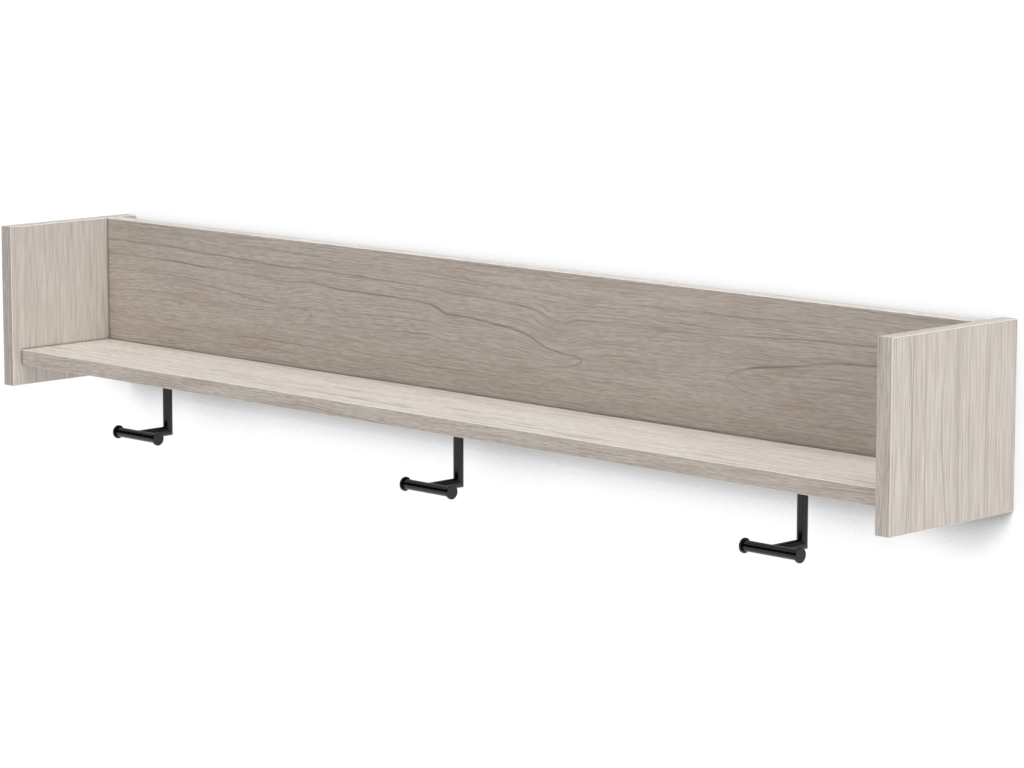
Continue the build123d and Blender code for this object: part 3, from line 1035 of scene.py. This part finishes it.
@dataclass
class Studio:
    """A white wall and a white floor with a painted soft shade round the shelf, soft light from all round, and
    the camera, with sizes in metres.
    """

    wall_gap: float = 0.5 * MM  # the wall stands this far behind the shelf
    wall_width: float = 16.0
    wall_height: float = 10.0
    floor_drop: float = 1.5
    aim: Triple = (0.0, -0.08, -0.02)  # what the lamps look at
    paint: str = "#3f3f40"
    cloth: str = "#202020"
    glow: float = 1.0  # what a camera sees on top of the light that the paint sends back; the painted shade dims it near the shelf
    shade_reach: float = 100.0 * MM  # how far the painted soft contact shade round the shelf spreads on the wall
    shade_open: float = 0.8  # share of open air from which the wall is fully white
    shade_power: float = 2.4  # how fast the painted shade deepens below that share
    shade_lean: Triple = (0.65, -0.9, 0.7)  # leans the painted shade down and to the left, away from the lamps
    flag_radius: float = 9.0
    flag_low: float = -0.7
    flag_high: float = 5.9
    lens: float = 132.29  # in millimetres
    camera_place: Triple = (2.5502, -2.5658, 0.5108)
    camera_pitch: float = -8.659  # degrees above level
    camera_turn: float = 44.951  # degrees to the left of +Y
    lamps: tuple[Softbox, ...] = (
        Softbox("softbox_top", (0.1, -0.3, 2.3), width=2.6, height=1.6, power=51.5),
        Softbox("softbox_right", (6.0, -1.2, 1.5), width=4.5, height=4.5, power=178.0),
        Softbox("softbox_front", (0.9, -3.3, 0.1), width=2.2, height=2.2, power=3.4),
    )
    # Brightness of the sky from straight below, at 0, over the horizon, at 0.5, to straight above.
    sky_levels: Stops = (
        (0.0, 0.8), (0.45, 0.8), (0.5, 0.1), (0.6, 0.09), (0.8, 0.18), (0.93, 0.3), (1.0, 0.36)
    )  # fmt: skip

    def build(self) -> None:
        """Sets up the whole studio."""
        bpy.ops.object.select_all(action="DESELECT")
        paint = self.backdrop_paint()
        self.plane("studio_wall", (0, self.wall_gap, 0), (90, 0, 0), paint)
        self.plane("studio_floor", (0, 0, -self.floor_drop), (0, 0, 0), paint)
        self.flags()
        for lamp in self.lamps:
            lamp.light(Vector(self.aim))
        self.sky()
        self.camera()

    def plane(self, name: str, place: Triple, turn: Triple, paint: Material) -> None:
        """Adds a flat backdrop that only cameras and reflections see, and that light passes.

        Args:
            name: Its name.
            place: Its middle, in metres.
            turn: Its turn, in degrees.
            paint: Its material.
        """
        bpy.ops.mesh.primitive_plane_add(
            size=1, location=place, rotation=tuple(math.radians(a) for a in turn)
        )
        screen = bpy.context.object
        screen.name = name
        screen.scale = (self.wall_width, self.wall_height, 1)
        screen.data.materials.append(paint)
        screen.visible_diffuse = screen.visible_shadow = False
        LOG.info("stage %s", name)

    def backdrop_paint(self) -> Material:
        """Dark matt paint under a white glow, which can't be seen from behind. The paint keeps the lamps' real
        shadows, and the glow fades by ambient occlusion round the shelf, which paints a soft contact shadow on
        it.

        Returns:
            The material.
        """
        material = bpy.data.materials.new("white_backdrop_painted_shade")
        material.use_nodes = True
        tree = material.node_tree
        tree.nodes.clear()
        # painted shade: ambient occlusion round the shelf, leaned away from the lamps, dims the glow
        lean = add(tree, "CombineXYZ", dict(enumerate(self.shade_lean)))
        open_share = add(
            tree,
            "AmbientOcclusion",
            {"Distance": self.shade_reach, "Normal": lean},
            out="AO",
            samples=16,
        )
        open_share = add(
            tree, "MapRange", {"Value": open_share, "From Max": self.shade_open}
        )
        open_share = add(
            tree, "Math", {0: open_share, 1: self.shade_power}, operation="POWER"
        )
        level = add(
            tree, "Math", {0: open_share, 1: self.seen(tree, self.glow)}, operation="MULTIPLY"
        )
        matt = add(tree, "BsdfDiffuse", {"Color": linear(self.paint)})
        glow = add(tree, "Emission", {"Color": linear(WHITE), "Strength": level})
        both = add(tree, "AddShader", {0: matt, 1: glow})
        behind = add(tree, "NewGeometry", out="Backfacing")
        clear = add(tree, "BsdfTransparent")
        add(
            tree,
            "OutputMaterial",
            {"Surface": add(tree, "MixShader", {0: behind, 1: both, 2: clear})},
        )
        return material

    def seen(self, tree: Tree, level: float) -> Socket:
        """A level for camera, glossy and transmission rays, and 0 for the rest.

        Args:
            tree: The node tree.
            level: The level for those rays.

        Returns:
            The socket with the level.
        """
        rays = add(tree, "LightPath", out="Is Camera Ray")
        for kind in ("Is Glossy Ray", "Is Transmission Ray"):
            other = add(tree, "LightPath", out=kind)
            rays = add(tree, "Math", {0: rays, 1: other}, operation="MAXIMUM")
        return add(tree, "Math", {0: rays, 1: level}, operation="MULTIPLY")

    def flags(self) -> None:
        """Adds the ring of black cloth that gives polished metal a dark horizon to reflect."""
        bpy.ops.mesh.primitive_cylinder_add(
            vertices=48,
            radius=self.flag_radius,
            depth=self.flag_high - self.flag_low,
            end_fill_type="NOTHING",
            location=(0, 0, (self.flag_high + self.flag_low) / 2),
        )
        ring = bpy.context.object
        ring.name = "studio_flags"
        cloth = bpy.data.materials.new("black_flag_cloth")
        cloth.use_nodes = True
        cloth.node_tree.nodes.clear()
        dark = add(cloth.node_tree, "Emission", {"Color": linear(self.cloth)})
        add(cloth.node_tree, "OutputMaterial", {"Surface": dark})
        ring.data.materials.append(cloth)
        ring.visible_camera = ring.visible_diffuse = False
        ring.visible_shadow = ring.visible_transmission = False
        LOG.info("stage %s", ring.name)

    def sky(self) -> None:
        """Lights the shelf from all round: strong from above and below, weak from the horizon."""
        world = bpy.data.worlds.new("studio_world")
        bpy.context.scene.world = world
        world.use_nodes = True
        tree = world.node_tree
        tree.nodes.clear()
        way = add(tree, "TexCoord", out="Generated")
        up = add(tree, "SeparateXYZ", {0: way}, out="Z")
        share = add(tree, "MapRange", {"Value": up, "From Min": -1.0, "From Max": 1.0})
        level = add(tree, "ValToRGB", {"Fac": share}, stops=self.sky_levels)
        soft = add(tree, "Background", {"Color": level})
        white = add(tree, "Background", {"Color": linear(WHITE)})
        mix = add(tree, "MixShader", {0: self.seen(tree, 1.0), 1: soft, 2: white})
        add(tree, "OutputWorld", {"Surface": mix})

    def camera(self) -> None:
        """Adds the camera."""
        turn = (math.radians(90 + self.camera_pitch), 0.0, math.radians(self.camera_turn))
        bpy.ops.object.camera_add(location=self.camera_place, rotation=turn)
        camera = bpy.context.object
        camera.name = "camera"
        camera.data.lens = self.lens
        bpy.context.scene.camera = camera
        LOG.info("camera with a %.0f mm lens", self.lens)


def main() -> None:
    """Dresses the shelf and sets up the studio."""
    logging.basicConfig(level=logging.INFO, format="%(name)s: %(message)s")
    SidePanel(
        Side.LEFT,
        figure=Figure(centre=-60, depth=70, slope=0.06, spacing=10, sway=8, ripple=2),
        shift=300,
    ).dress()
    SidePanel(
        Side.RIGHT,
        figure=Figure(centre=-120, depth=60, slope=0.06, spacing=10, sway=8, ripple=2),
        shift=400,
        streaks=(
            Streak(centre=-140, width=1.5, ink=0.25),
            Streak(centre=-122, width=1.5, ink=0.25),
            Streak(centre=-77, width=9, ink=0.1),
            Streak(centre=-40, width=1.5, ink=0.2),
        ),
        light="#e6ded6",
        middle="#d9cfc5",
        # painted light: the same band as on the left, made lighter for the stronger light on this side
        front_light="#f1e7dd",
        front_middle="#e4d8cc",
    ).dress()
    ShelfBoard().dress()
    BackPanel().dress()
    plated = ZincFinish(
        "zinc_plated_steel",
        bright="#c6c8ca",
        dull="#a9abad",
        low_roughness=0.22,
        high_roughness=0.36,
        cloud=1.2,
    ).make()
    Cleats().dress(plated)
    Fittings().dress(plated)
    coat, oxide = BlackPowderCoat().make(), BlackOxide().make()
    for number in (1, 2, 3):
        Hook(number).dress(coat, oxide)
    Studio().build()
    bpy.context.scene.view_settings.view_transform = "Standard"


if __name__ == "__main__":
    main()
